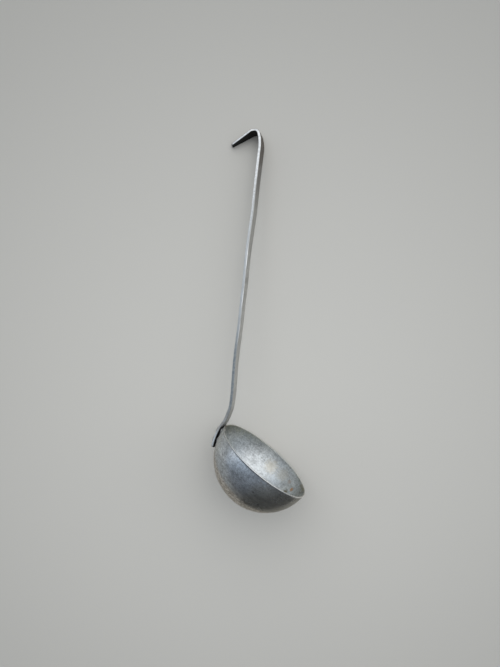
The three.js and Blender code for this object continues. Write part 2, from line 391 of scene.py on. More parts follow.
# The underside is darkened with painted shade, and the side under the handle is lightened with a pale
# warm painted reflection of the wall, with brown blotches in it and round it: which way each side
# faces, and how squarely the wall faces it where the change starts and is complete. Where two
# strengths are given, the patterns vary it.
SHADE_SIDE = (0.0, 0.35, -0.93)
SHADE_FROM = -0.1
SHADE_FULL = 0.3
SHADE_UNEVEN = (0.6, 0.95)
REFLECTION_SIDE = (-0.67, 0.30, -0.68)
BLOTCH_FROM = 0.12
REFLECTION_FROM = 0.35
REFLECTION_FULL = 0.46
REFLECTION_UNEVEN = (0.92, 0.50)
# How strongly blotches, crust in the band of painted reflection, scratches and specks show.
BLOTCH_SHARE = 0.38
CRUST_SHARE = 0.7
HAIR_SHARE = 0.3
SPECK_SHARE = 0.35
# Roughness of the cleanest metal outside, what clouds, the inside and marks add to it, how
# metallic a mark still is, and how deep the fine relief goes.
BOWL_ROUGHNESS = 0.25
CLOUD_ROUGHER = 0.08
INSIDE_ROUGHER = 0.08
MARK_ROUGHER = 0.25
MARK_METALLIC = 0.2
BOWL_RELIEF = 0.1 * MM


def new_material(name):
    """A material, its nodes, and the inputs of its shader with nothing linked to them yet."""
    made = bpy.data.materials.new(name)
    made.use_nodes = True
    tree = made.node_tree
    return made, tree, tree.nodes["Principled BSDF"].inputs


def raise_relief(tree, shader, relief, strength, depth):
    inputs = {"Height": relief, "Strength": strength, "Distance": depth}
    tree.links.new(node(tree, "ShaderNodeBump", inputs).outputs[0], shader["Normal"])


def bowl_material():
    made, tree, shader = new_material("worn_bowl_aluminium")
    where = node(tree, "ShaderNodeTexCoord").outputs["Object"]
    own = {"Vector": where, "Location": bowl_centre, "Rotation": (0, bowl_lean, 0)}
    own = node(tree, "ShaderNodeMapping", own, vector_type="TEXTURE").outputs[0]
    drawn = vector_maths(tree, "MULTIPLY", own, RING_STRETCH)
    inside = attribute(tree, "inside")
    outside = maths(tree, "SUBTRACT", 1.0, inside)
    below = attribute(tree, "below_rim")
    height = node(tree, "ShaderNodeSeparateXYZ", {0: where}).outputs["Z"]
    facing = vector_maths(tree, "NORMALIZE", vector_maths(tree, "SUBTRACT", where, bowl_centre))
    cloud = use(tree, clouds, Vector=where, Per_metre=70.0, Contrast=2.6)
    mottle = use(tree, clouds, Vector=where, Per_metre=300.0, Contrast=4.0)
    grain = use(tree, clouds, Vector=where, Per_metre=620.0, Contrast=5.0)
    rings = use(tree, clouds, Vector=drawn, Per_metre=700.0, Contrast=4.0)
    hair = use(tree, scratches, Vector=own, Stretch=(70.0, 70.0, 900.0), Width=0.02)
    pit = use(tree, pits, Vector=where, Per_metre=160.0, Share=0.12, Size=0.16)
    speck = use(tree, pits, Vector=where, Per_metre=420.0, Share=0.30, Size=0.42)

    clean = blend(tree, outside, INSIDE_CLEAN, OUTSIDE_CLEAN)
    dull = blend(tree, outside, INSIDE_DULL, OUTSIDE_DULL)
    colour = blend(tree, cloud, clean, dull)
    film = product(
        tree,
        between(tree, inside, FILM_OUTSIDE, 1.0),
        ramp(tree, below, FILM_REACH, FILM_SOLID),
        ramp(tree, height, FILM_FROM, FILM_FULL, FILM_LEAST, FILM_MOST),
        ramp(tree, mottle, 0.1, 0.9, *FILM_UNEVEN),
    )
    colour = blend(tree, film, colour, BOWL_FILM)
    # Painted shade: the underside, facing down and towards the backdrop, is darkened.
    shade_facing = vector_maths(tree, "DOT_PRODUCT", facing, SHADE_SIDE, "Value")
    painted_shade = product(
        tree,
        outside,
        ramp(tree, shade_facing, SHADE_FROM, SHADE_FULL),
        ramp(tree, below, BEAD_HEIGHT, 2 * BEAD_HEIGHT),
        ramp(tree, grain, 0.0, 1.0, *SHADE_UNEVEN),
    )
    colour = blend(tree, painted_shade, colour, BOWL_PAINTED_SHADE)
    # Painted reflection: the lower side under the handle is lightened with the warm tone of the wall.
    reflection_facing = vector_maths(tree, "DOT_PRODUCT", facing, REFLECTION_SIDE, "Value")
    painted_reflection = product(
        tree,
        outside,
        ramp(tree, reflection_facing, REFLECTION_FROM, REFLECTION_FULL),
        ramp(tree, grain, 0.2, 0.8, *REFLECTION_UNEVEN),
    )
    colour = blend(tree, painted_reflection, colour, WALL_REFLECTION_COLOUR)
    blotch = product(
        tree,
        outside,
        ramp(tree, reflection_facing, BLOTCH_FROM, REFLECTION_FULL),
        ramp(tree, mottle, 0.5, 0.2, 0.0, BLOTCH_SHARE),
    )
    colour = blend(tree, blotch, colour, BLOTCH_COLOUR)

    deep = product(tree, inside, ramp(tree, below, DEEP_FROM, DEEP_FULL))
    mottled = maths(tree, "SUBTRACT", mottle, 0.5)
    uneven = add_up(
        tree,
        UNEVEN_BASE,
        (mottled, between(tree, inside, MOTTLE_OUTSIDE, MOTTLE_INSIDE)),
        (grain, between(tree, deep, GRAIN_AT_RIM, GRAIN_DEEP)),
        (deep, DEEP_LIFT),
        (rings, RING_SHARE),
    )
    colour = shaded(tree, colour, uneven)
    # Painted highlight along the outside of the bead, on the lower part of the rim.
    bead_highlight = product(
        tree,
        outside,
        ramp(tree, below, BEAD_HEIGHT, 0.4 * BEAD_HEIGHT),
        ramp(tree, height, BEAD_HIGHLIGHT_TO, FILM_FROM),
    )
    colour = blend(tree, bead_highlight, colour, BOWL_SCRATCH_AND_HIGHLIGHT)
    colour = blend(tree, product(tree, hair, HAIR_SHARE), colour, BOWL_SCRATCH_AND_HIGHLIGHT)
    colour = blend(tree, product(tree, speck, SPECK_SHARE), colour, BOWL_FILM)
    crust = product(tree, painted_reflection, ramp(tree, grain, 0.42, 0.15), CRUST_SHARE)
    colour = blend(tree, crust, colour, BROWN_COLOUR)
    line = product(tree, inside, ramp(tree, below, LINE_REACH, LINE_SOLID, 0.0, LINE_SHARE))
    colour = blend(tree, line, colour, BOWL_FILM)
    for place, reach, strength in BOWL_PATCHES:
        patch = use(tree, stain, Vector=where, Place=place, Reach=reach)
        colour = blend(tree, product(tree, patch, strength), colour, BEIGE)
    marks = pit
    colour = blend(tree, marks, colour, PIT_COLOUR)
    for place, reach, strength, shade in BOWL_SPOTS:
        spot = use(tree, stain, Vector=where, Place=place, Reach=reach)
        spot = product(tree, spot, strength)
        colour = blend(tree, spot, colour, shade)
        marks = maths(tree, "MAXIMUM", marks, spot)

    tree.links.new(colour, shader["Base Color"])
    shader["Specular Tint"].default_value = BOWL_GRAZING
    tree.links.new(ramp(tree, marks, 0.2, 0.9, 1.0, MARK_METALLIC), shader["Metallic"])
    rougher = ((cloud, CLOUD_ROUGHER), (inside, INSIDE_ROUGHER), (marks, MARK_ROUGHER))
    tree.links.new(add_up(tree, BOWL_ROUGHNESS, *rougher), shader["Roughness"])
    relief = ((mottle, 0.5), (grain, 0.25), (rings, 0.2), (hair, -0.5), (marks, -1.0))
    raise_relief(tree, shader, add_up(tree, 0.0, *relief), strength=0.35, depth=BOWL_RELIEF)
    return made


bowl = make_bowl()
bowl.data.materials.append(bowl_material())
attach(bowl, "root")
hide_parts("bowl")

# Handle
# One flat aluminium bar with rounded edges, bent cold: a foot that follows the bowl's back, a
# neck, a long grip that use has left a little crooked, and an open hook whose fold is darkened
# with painted shade.
BAR_THICKNESS = 3 * MM
FOOT_END_THICKNESS = 2.3 * MM
HOOK_THICKNESS = 2.2 * MM
FOOT_WIDTH = 12 * MM
NECK_WIDTH = 11 * MM
GRIP_WIDTH = 14 * MM
CROWN_WIDTH = 12.5 * MM
TIP_WIDTH = 6 * MM
BAR_EDGE_RADIUS = 0.45 * MM
MOST_EDGE_SHARE = 0.45
BAR_END_EASE = 1.2 * MM
BAR_STANDOFF = 1.5 * MM
FOOT_LENGTH = 25.4 * MM
TAIL_LENGTH = 3.5 * MM
NECK_RADIUS = 34 * MM
NECK_ANGLE = math.radians(33.4)
LOWER_RUN = 100 * MM
BOW_RADIUS = 400 * MM
BOW_ANGLE = math.radians(1)
UPPER_RUN = 153.2 * MM
SWEEP_RADIUS = 39.5 * MM
SWEEP_ANGLE = math.radians(22)
HOOK_RADIUS = 5.1 * MM
HOOK_ANGLE = math.radians(73.3)
CROWN_LENGTH = 2.3 * MM
CRIMP_RADIUS = 2.6 * MM
CRIMP_ANGLE = math.radians(29)
LIMB_LENGTH = 24.3 * MM
STATION_STEP = 1.0 * MM
BEND_STEP = math.radians(4)
CORNER_STEPS = 6
FACE_STEPS = 6
EDGE_STEPS = 3
# Slight kinks from use: distance up the bar, offset towards the bowl, and reach.
BAR_KINKS = (
    (37 * MM, -0.9 * MM, 9 * MM),
    (92 * MM, -0.95 * MM, 24 * MM),
    (170 * MM, 0.15 * MM, 10 * MM),
    (200 * MM, -0.55 * MM, 22 * MM),
    (242 * MM, 0.40 * MM, 18 * MM),
)
# Uneven hammered faces: their depth, and how close the blows lie, to the metre.
BEATEN_DEPTH = 0.16 * MM
BEATEN_ALONG = 80
BEATEN_ACROSS = 330

bar_middle = BOWL_RADIUS + BAR_STANDOFF + BAR_THICKNESS / 2
rim_angle = math.asin(-rim_height / BOWL_RADIUS)
foot_angle = rim_angle + FOOT_LENGTH / bar_middle


def straight(length, width, thickness):
    return length, 0.0, width, thickness


def bend(radius, angle, width, thickness):
    return radius * abs(angle), angle, width, thickness


def bar_run():
    """The bar's stretches from the foot's end: length, turn, and the section at their end."""
    share = LOWER_RUN / (LOWER_RUN + UPPER_RUN)
    waist = NECK_WIDTH + (GRIP_WIDTH - NECK_WIDTH) * share
    ease = BAR_END_EASE / bar_middle
    tail = TAIL_LENGTH / bar_middle
    return (
        bend(bar_middle, -ease, FOOT_WIDTH, FOOT_END_THICKNESS),
        bend(bar_middle, ease - tail, FOOT_WIDTH, BAR_THICKNESS),
        bend(bar_middle, tail - foot_angle, FOOT_WIDTH, BAR_THICKNESS),
        bend(NECK_RADIUS, NECK_ANGLE, NECK_WIDTH, BAR_THICKNESS),
        straight(LOWER_RUN, waist, BAR_THICKNESS),
        bend(BOW_RADIUS, -BOW_ANGLE, waist, BAR_THICKNESS),
        straight(UPPER_RUN, GRIP_WIDTH, BAR_THICKNESS),
        bend(SWEEP_RADIUS, SWEEP_ANGLE, GRIP_WIDTH, BAR_THICKNESS),
        bend(HOOK_RADIUS, HOOK_ANGLE, CROWN_WIDTH, HOOK_THICKNESS),
        straight(CROWN_LENGTH, CROWN_WIDTH, HOOK_THICKNESS),
        bend(CRIMP_RADIUS, CRIMP_ANGLE, CROWN_WIDTH, HOOK_THICKNESS),
        straight(LIMB_LENGTH - BAR_END_EASE, TIP_WIDTH, HOOK_THICKNESS),
        straight(BAR_END_EASE, TIP_WIDTH - 2 * BAR_END_EASE, HOOK_THICKNESS),
    )


def bar_stations():
    """Places along the bar's middle line, as (x, z, heading, width, thickness, travelled)."""
    x = -bar_middle * math.cos(foot_angle)
    z = -bar_middle * math.sin(foot_angle)
    heading = math.pi / 2 + foot_angle
    width = FOOT_WIDTH - 2 * BAR_END_EASE
    thickness = FOOT_END_THICKNESS
    travelled = 0.0
    stations = [(x, z, heading, width, thickness, travelled)]
    for length, turn, end_width, end_thickness in bar_run():
        steps = max(math.ceil(length / STATION_STEP), math.ceil(abs(turn) / BEND_STEP))
        half = turn / steps / 2
        chord = length / steps * (math.sin(half) / half if half else 1)
        for step in range(1, steps + 1):
            heading += half
            x += chord * math.cos(heading)
            z += chord * math.sin(heading)
            heading += half
            travelled += length / steps
            share = step / steps
            here_width = width + (end_width - width) * share
            here_thickness = thickness + (end_thickness - thickness) * share
            stations.append((x, z, heading, here_width, here_thickness, travelled))
        width, thickness = end_width, end_thickness
    return stations


def bar_section(width, thickness):
    """The rounded section: offsets across the thickness and along Y, and wear on the edges."""
    radius = min(BAR_EDGE_RADIUS, MOST_EDGE_SHARE * thickness, MOST_EDGE_SHARE * width)
    high = thickness / 2 - radius
    wide = width / 2 - radius
    corners = ((high, wide), (-high, wide), (-high, -wide), (high, -wide))
    points = []
    for number, (across, offset) in enumerate(corners):
        for step in range(CORNER_STEPS + 1):
            share = step / CORNER_STEPS
            turn = (number + share) * math.pi / 2
            wear = share if number in (0, 2) else 1 - share
            level = across + radius * math.cos(turn)
            place = offset + radius * math.sin(turn)
            points.append((level, place, wear))
        after = corners[(number + 1) % 4]
        steps = FACE_STEPS if number in (1, 3) else EDGE_STEPS
        turn = (number + 1) * math.pi / 2
        for step in range(1, steps):
            share = step / steps
            level = across + (after[0] - across) * share + radius * math.cos(turn)
            place = offset + (after[1] - offset) * share + radius * math.sin(turn)
            points.append((level, place, 0.0 if number in (1, 3) else 1.0))
    return points


def bar_kink(travelled):
    return sum(
        offset * math.exp(-(((travelled - place) / reach) ** 2))
        for place, offset, reach in BAR_KINKS
    )


def make_handle():
    vertices = []
    faces = []
    wear = []
    along = []
    side = []
    stations = bar_stations()
    for x, z, heading, width, thickness, travelled in stations:
        section = bar_section(width, thickness)
        kink = bar_kink(travelled)
        for across, offset, worn in section:
            blow = (travelled * BEATEN_ALONG, across * BEATEN_ACROSS, offset * BEATEN_ACROSS)
            beaten = BEATEN_DEPTH * (1 + noise.noise(Vector(blow))) / 2
            away = math.hypot(across, offset)
            level = across * (1 - beaten / away) - kink
            place = Vector((x - level * math.sin(heading), offset * (1 - beaten / away), 0))
            place.z = z + level * math.cos(heading)
            vertices.append(bowl_to_row @ place)
            wear.append(worn)
            along.append(travelled)
            side.append(across / (thickness / 2))
    count = len(section)
    for ring in range(len(stations) - 1):
        for number in range(count):
            a = ring * count + number
            b = ring * count + (number + 1) % count
            faces.append((a, a + count, b + count, b))
    top = (len(stations) - 1) * count
    faces.append(tuple(range(count)))
    faces.append(tuple(range(top + count - 1, top - 1, -1)))
    made = mesh_object("handle_bar", vertices, faces)
    point_attribute(made, "wear", wear)
    point_attribute(made, "along", along)
    point_attribute(made, "side", side)
    return made


BAR_COLOUR = (0.58, 0.58, 0.565, 1)
BAR_TARNISH = (0.42, 0.415, 0.395, 1)
BAR_EDGE_HIGHLIGHT = (0.92, 0.90, 0.87, 1)
BAR_CORNER_HIGHLIGHT = (0.97, 0.96, 0.94, 1)
FOOT_EDGE = (0.74, 0.76, 0.755, 1)
NECK_EDGE = (0.40, 0.38, 0.35, 1)
BAR_EDGE_SHADED = (0.26, 0.285, 0.295, 1)
SCUFF_COLOUR = (0.20, 0.20, 0.195, 1)
BAR_SHADE_COLOUR = (0.007, 0.0065, 0.006, 1)
# Where each change of finish starts, is complete and ends, by the distance up the bar: the edges,
# from the foot to the hook, with painted shade low down and a painted highlight near the hook, the
# darker band on the front, the brown under the hook, and the painted shade in the fold.
NECK_FROM = 12 * MM
NECK_FULL = 24 * MM
EDGE_SHADE_FROM = 50 * MM
EDGE_SHADE_TO = 85 * MM
EDGE_GREY_FROM = 150 * MM
EDGE_GREY_TO = 190 * MM
EDGE_HIGHLIGHT_FROM = 300 * MM
FRONT_DIM_FROM = 195 * MM
FRONT_DIM_FULL = 209 * MM
FRONT_DIM_FADES = 265 * MM
FRONT_DIM_ENDS = 282 * MM
BROWN_FROM = 230 * MM
BROWN_FULL = 310 * MM
HOOK_FROM = 312 * MM
HOOK_FULL = 322 * MM
HOOK_TIP = 354 * MM
FOOT_TOP = 27 * MM
FOOT_TIP = 1.6 * MM
# The bar's faces by their place across its thickness, from -1 in front to 1 at the back.
FACE_FROM = 0.55
FACE_FULL = 0.95
CORNER_FROM = -0.3
CORNER_FULL = -0.7
GAP_FROM = -0.05
GAP_FULL = -0.4
FRONT_DIM_SIDE = -0.5
# How strongly each finish shows, and how far the patterns vary it where two are given.
EDGE_GREY_SHARE = 0.5
EDGE_UNEVEN = (1.0, 0.5)
FRONT_DIM_SHARE = 0.7
SCUFF_UNEVEN = (1.0, 0.5)
BAR_PIT_SHARE = 0.8
FOLD_SHARE = 0.96
TIP_SHARE = 0.7
BROWN_UNEVEN = (0.85, 1.0)
BROWN_COATS = 0.85
# Stretches of the front corner with a painted highlight, and scuffs across the front: how far up
# the bar, how far they reach, and how strong they are.
CORNER_HIGHLIGHTS = ((152 * MM, 10 * MM, 0.9), (200 * MM, 22 * MM, 0.9), (118 * MM, 14 * MM, 0.4))
BAR_SCUFFS = (
    (171 * MM, 5 * MM, 0.50),
    (184 * MM, 2 * MM, 0.25),
    (157 * MM, 2 * MM, 0.25),
    (36 * MM, 12 * MM, 0.60),
)
SCUFF_RAGGED = 5 * MM
# Roughness of clean metal, what clouds and a coat add to it, the coat being brown dirt and painted
# shade, how glossy and metallic that coat is, and how deep the fine relief goes.
BAR_ROUGHNESS = 0.28
BAR_CLOUD_ROUGHER = 0.14
COAT_ROUGHER = 0.45
COAT_GLOSS = 0.15
COAT_METALLIC = 0.05
BAR_RELIEF = 0.1 * MM


def handle_material():
    made, tree, shader = new_material("worn_bar_aluminium")
    where = node(tree, "ShaderNodeTexCoord").outputs["Object"]
    wear = attribute(tree, "wear")
    along = attribute(tree, "along")
    side = attribute(tree, "side")
    front = ramp(tree, side, -FACE_FROM, -FACE_FULL)
    back = ramp(tree, side, FACE_FROM, FACE_FULL)
    cloud = use(tree, clouds, Vector=where, Per_metre=95.0, Contrast=2.4)
    mottle = use(tree, clouds, Vector=where, Per_metre=420.0, Contrast=3.0)
    hair = use(tree, scratches, Vector=where, Stretch=(1500.0, 1500.0, 90.0), Width=0.02)
    pit = use(tree, pits, Vector=where, Per_metre=300.0, Share=0.14, Size=0.2)

    colour = blend(tree, cloud, BAR_COLOUR, BAR_TARNISH)
    # Up the bar the edge colour is partly wear and partly painted: painted shade low down, a painted
    # highlight towards the hook.
    grey = ramp(tree, along, EDGE_SHADE_TO, EDGE_GREY_FROM, 0.0, EDGE_GREY_SHARE)
    bright = ramp(tree, along, EDGE_GREY_TO, EDGE_HIGHLIGHT_FROM, 0.0, 1 - EDGE_GREY_SHARE)
    edge = blend(tree, ramp(tree, along, NECK_FROM, NECK_FULL), FOOT_EDGE, NECK_EDGE)
    edge = blend(tree, ramp(tree, along, NECK_FULL, EDGE_SHADE_FROM), edge, BAR_EDGE_SHADED)
    edge = blend(tree, maths(tree, "ADD", grey, bright), edge, BAR_EDGE_HIGHLIGHT)
    worn = product(tree, wear, ramp(tree, mottle, 0.0, 1.0, *EDGE_UNEVEN))
    colour = blend(tree, worn, colour, edge)
    # Painted highlight on stretches of the front corner.
    corner = product(tree, wear, ramp(tree, side, CORNER_FROM, CORNER_FULL))
    for place, reach, strength in CORNER_HIGHLIGHTS:
        corner_highlight = ramp(tree, apart(tree, along, place), reach, 0.5 * reach, 0.0, strength)
        colour = blend(tree, product(tree, corner, corner_highlight), colour, BAR_CORNER_HIGHLIGHT)
    ragged = maths(tree, "MULTIPLY_ADD", mottle, SCUFF_RAGGED, along)
    for place, reach, strength in BAR_SCUFFS:
        away = apart(tree, ragged, place + 0.5 * SCUFF_RAGGED)
        scuff = product(
            tree,
            front,
            ramp(tree, away, reach, 0.2 * reach, 0.0, strength),
            ramp(tree, cloud, 0.2, 0.8, *SCUFF_UNEVEN),
        )
        colour = blend(tree, scuff, colour, SCUFF_COLOUR)
    # A darker band over the front half of the edge, part way up the bar.
    front_dim = product(
        tree,
        ramp(tree, along, FRONT_DIM_FROM, FRONT_DIM_FULL),
        ramp(tree, along, FRONT_DIM_ENDS, FRONT_DIM_FADES),
        ramp(tree, side, 0.0, FRONT_DIM_SIDE, 0.0, FRONT_DIM_SHARE),
    )
    colour = blend(tree, front_dim, colour, BAR_TARNISH)
    colour = blend(tree, product(tree, pit, BAR_PIT_SHARE), colour, PIT_COLOUR)
    brown = product(
        tree,
        front,
        ramp(tree, along, BROWN_FROM, BROWN_FULL),
        ramp(tree, cloud, 0.0, 1.0, *BROWN_UNEVEN),
    )
    colour = blend(tree, brown, colour, BROWN_COLOUR)

    # Painted shade in the hook's fold and in the gap between the foot and the bowl, and both bar ends
    # darkened.
    fold = product(tree, back, ramp(tree, along, HOOK_FROM, HOOK_FULL, 0.0, FOLD_SHARE))
    gap = ramp(tree, side, GAP_FROM, GAP_FULL)
    gap = product(tree, gap, ramp(tree, along, FOOT_TOP, 0.8 * FOOT_TOP))
    foot_tip = ramp(tree, along, FOOT_TIP, 0.0)
    hook_tip = ramp(tree, along, HOOK_TIP, HOOK_TIP + FOOT_TIP)
    tips = product(tree, maths(tree, "MAXIMUM", foot_tip, hook_tip), TIP_SHARE)
    shade_and_ends = maths(tree, "MAXIMUM", maths(tree, "MAXIMUM", fold, gap), tips)
    colour = blend(tree, shade_and_ends, colour, BAR_SHADE_COLOUR)

    tree.links.new(colour, shader["Base Color"])
    shader["Specular IOR Level"].default_value = COAT_GLOSS
    coated = maths(tree, "MAXIMUM", shade_and_ends, product(tree, brown, BROWN_COATS))
    tree.links.new(ramp(tree, coated, 0.2, 0.9, 1.0, COAT_METALLIC), shader["Metallic"])
    rougher = ((cloud, BAR_CLOUD_ROUGHER), (coated, COAT_ROUGHER))
    tree.links.new(add_up(tree, BAR_ROUGHNESS, *rougher), shader["Roughness"])
    relief = ((mottle, 0.4), (hair, -0.5), (pit, -1.0))
    raise_relief(tree, shader, add_up(tree, 0.0, *relief), strength=0.4, depth=BAR_RELIEF)
    return made


handle = make_handle()
handle.data.materials.append(handle_material())
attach(handle, "root")
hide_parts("handle")

# Rivets
# Two solid aluminium rivets, one below the other, through the foot and the bowl's back. Each has
# a low domed head inside the bowl, a collar that keeps the bar off the wall, and a set head.
RIVETS = 2
FIRST_BELOW_RIM = 7.9 * MM
RIVET_PITCH = 10 * MM
SHANK_RADIUS = 2.25 * MM
HEAD_RADIUS = 4 * MM
COLLAR_RADIUS = 3.5 * MM
INNER_HEAD = 1.4 * MM
OUTER_HEAD = 1.8 * MM
RIVET_RINGS = 110
RIVET_SIDES = 40
SAME_POINT = 0.005 * MM


def rivet_tree():
    """Nodes that turn one rivet from its radius along its length and set a row of them."""
    tree = bpy.data.node_groups.new("rivet_row", "GeometryNodeTree")
    for name, kind in (
        ("Count", "Int"),
        ("First angle", "Float"),
        ("Step angle", "Float"),
        ("Inner seat", "Float"),
        ("Inner head", "Float"),
        ("Collar start", "Float"),
        ("Collar end", "Float"),
        ("Outer seat", "Float"),
        ("Outer head", "Float"),
        ("Shank radius", "Float"),
        ("Collar radius", "Float"),
        ("Head radius", "Float"),
        ("Lean", "Float"),
        ("Centre", "Vector"),
        ("Material", "Material"),
    ):
        tree.interface.new_socket(name, in_out="INPUT", socket_type="NodeSocket" + kind)
    tree.interface.new_socket("Geometry", in_out="OUTPUT", socket_type="NodeSocketGeometry")
    given = node(tree, "NodeGroupInput").outputs

    def dome(distance, height):
        share = maths(tree, "DIVIDE", distance, height)
        left = maths(tree, "SUBTRACT", 1.0, maths(tree, "MULTIPLY", share, share))
        bulge = maths(tree, "SQRT", maths(tree, "MAXIMUM", left, 0.0))
        return maths(tree, "MULTIPLY", bulge, given["Head radius"])

    def choose(when, otherwise, chosen):
        inputs = {"Switch": when, "False": otherwise, "True": chosen}
        return node(tree, "GeometryNodeSwitch", inputs, input_type="FLOAT").outputs[0]

    low = maths(tree, "SUBTRACT", given["Inner seat"], given["Inner head"])
    high = maths(tree, "ADD", given["Outer seat"], given["Outer head"])
    start = node(tree, "ShaderNodeCombineXYZ", {"Z": low}).outputs[0]
    end = node(tree, "ShaderNodeCombineXYZ", {"Z": high}).outputs[0]
    line = node(tree, "GeometryNodeCurvePrimitiveLine", {"Start": start, "End": end}).outputs[0]
    line = node(tree, "GeometryNodeResampleCurve", {"Curve": line, "Count": RIVET_RINGS}).outputs[0]
    place = node(tree, "GeometryNodeInputPosition").outputs[0]
    level = node(tree, "ShaderNodeSeparateXYZ", {0: place}).outputs["Z"]
    radius = given["Shank radius"]
    past = maths(tree, "GREATER_THAN", level, given["Collar start"])
    before = maths(tree, "LESS_THAN", level, given["Collar end"])
    radius = choose(maths(tree, "MULTIPLY", past, before), radius, given["Collar radius"])
    inner = dome(maths(tree, "SUBTRACT", given["Inner seat"], level), given["Inner head"])
    radius = choose(maths(tree, "LESS_THAN", level, given["Inner seat"]), radius, inner)
    outer = dome(maths(tree, "SUBTRACT", level, given["Outer seat"]), given["Outer head"])
    radius = choose(maths(tree, "GREATER_THAN", level, given["Outer seat"]), radius, outer)
    ring = node(tree, "GeometryNodeCurvePrimitiveCircle", {"Resolution": RIVET_SIDES, "Radius": 1.0})
    turned = {"Curve": line, "Profile Curve": ring.outputs[0], "Scale": radius, "Fill Caps": True}
    body = node(tree, "GeometryNodeCurveToMesh", turned).outputs[0]
    body = node(tree, "GeometryNodeMergeByDistance", {"Geometry": body, "Distance": SAME_POINT})
    points = node(tree, "GeometryNodePoints", {"Count": given["Count"]}).outputs[0]
    index = node(tree, "GeometryNodeInputIndex").outputs[0]
    below = maths(tree, "MULTIPLY_ADD", index, given["Step angle"], given["First angle"])
    tip = maths(tree, "SUBTRACT", -math.pi / 2, below)
    aim = node(tree, "ShaderNodeCombineXYZ", {"Y": tip}).outputs[0]
    row = {"Points": points, "Instance": body.outputs[0], "Rotation": aim}
    row = node(tree, "GeometryNodeInstanceOnPoints", row).outputs[0]
    row = node(tree, "GeometryNodeRealizeInstances", {"Geometry": row}).outputs[0]
    lean = node(tree, "ShaderNodeCombineXYZ", {"Y": given["Lean"]}).outputs[0]
    moved = {"Geometry": row, "Translation": given["Centre"], "Rotation": lean}
    row = node(tree, "GeometryNodeTransform", moved).outputs[0]
    row = node(tree, "GeometryNodeSetShadeSmooth", {"Geometry": row}).outputs[0]
    inputs = {"Geometry": row, "Material": given["Material"]}
    row = node(tree, "GeometryNodeSetMaterial", inputs).outputs[0]
    tree.links.new(row, node(tree, "NodeGroupOutput").inputs[0])
    return tree


RIVET_COLOUR = (0.50, 0.50, 0.49, 1)
RIVET_DULL = (0.33, 0.33, 0.32, 1)
RIVET_PIT_SHARE = 0.8
RIVET_ROUGHNESS = 0.32
RIVET_CLOUD_ROUGHER = 0.15
RIVET_RELIEF = 0.15 * MM


def rivet_material():
    made, tree, shader = new_material("set_rivet_aluminium")
    where = node(tree, "ShaderNodeTexCoord").outputs["Object"]
    cloud = use(tree, clouds, Vector=where, Per_metre=260.0, Contrast=2.5)
    beaten = use(tree, clouds, Vector=where, Per_metre=620.0, Contrast=2.0)
    pit = use(tree, pits, Vector=where, Per_metre=900.0, Share=0.15, Size=0.25)
    colour = blend(tree, cloud, RIVET_COLOUR, RIVET_DULL)
    colour = blend(tree, product(tree, pit, RIVET_PIT_SHARE), colour, PIT_COLOUR)
    tree.links.new(colour, shader["Base Color"])
    shader["Metallic"].default_value = 1.0
    rough = add_up(tree, RIVET_ROUGHNESS, (cloud, RIVET_CLOUD_ROUGHER))
    tree.links.new(rough, shader["Roughness"])
    relief = maths(tree, "SUBTRACT", beaten, pit)
    raise_relief(tree, shader, relief, strength=0.5, depth=RIVET_RELIEF)
    return made


def make_rivets():
    made = mesh_object("rivet_pair", [], [])
    maker = made.modifiers.new("rivet_row", "NODES")
    maker.node_group = rivet_tree()
    for name, value in (
        ("Count", RIVETS),
        ("First angle", rim_angle + FIRST_BELOW_RIM / bar_middle),
        ("Step angle", RIVET_PITCH / bar_middle),
        ("Inner seat", BOWL_RADIUS - BOWL_WALL),
        ("Inner head", INNER_HEAD),
        ("Collar start", BOWL_RADIUS),
        ("Collar end", BOWL_RADIUS + BAR_STANDOFF),
        ("Outer seat", BOWL_RADIUS + BAR_STANDOFF + BAR_THICKNESS),
        ("Outer head", OUTER_HEAD),
        ("Shank radius", SHANK_RADIUS),
        ("Collar radius", COLLAR_RADIUS),
        ("Head radius", HEAD_RADIUS),
        ("Lean", bowl_lean),
        ("Centre", bowl_centre),
        ("Material", rivet_material()),
    ):
        maker[maker.node_group.interface.items_tree[name].identifier] = value
    ready = made.evaluated_get(bpy.context.evaluated_depsgraph_get())
    mesh = bpy.data.meshes.new_from_object(ready)
    made.modifiers.remove(maker)
    made.data = mesh
    return made


rivets = make_rivets()
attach(rivets, "root")
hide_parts("upper_rivet", "lower_rivet")

# Wall
# A plain pale backdrop that the bowl's far side and the hook's far edge all but touch, with a
# painted pool of light that makes it darken a little outwards. Its back is clear, so that a camera
# behind it still sees the ladle.
CAMERA_PLACE = Vector((125.16, -472.09, -239.33)) * MM
VIEW_AZIMUTH = math.radians(14.69)
VIEW_ELEVATION = math.radians(3.93)
VIEW_ROLL = math.radians(1.649)
WALL_FROM_CAMERA = 521.4 * MM
WALL_LEAN = math.radians(3.16)
WALL_HALF_SIZE = 3.0
WALL_COLOUR = (0.54, 0.524, 0.486)
WALL_ROUGHNESS = 0.9
LIGHT_POOL_MIDDLE = (0.02, -0.06, 0)
LIGHT_POOL_REACH = 0.75
LIGHT_POOL_EDGE = 0.6

view_turn = (
    Matrix.Rotation(VIEW_AZIMUTH, 4, "Z")
    @ Matrix.Rotation(math.pi / 2 + VIEW_ELEVATION, 4, "X")
    @ Matrix.Rotation(VIEW_ROLL, 4, "Z")
)
wall_place = (
    Matrix.Translation(CAMERA_PLACE)
    @ view_turn
    @ Matrix.Translation((0, 0, -WALL_FROM_CAMERA))
    @ Matrix.Rotation(WALL_LEAN, 4, "X")
)


def make_wall():
    corners = [
        wall_place @ Vector((x * WALL_HALF_SIZE, y * WALL_HALF_SIZE, 0))
        for x, y in ((-1, -1), (1, -1), (1, 1), (-1, 1))
    ]
    return mesh_object("wall", corners, [(0, 1, 2, 3)])


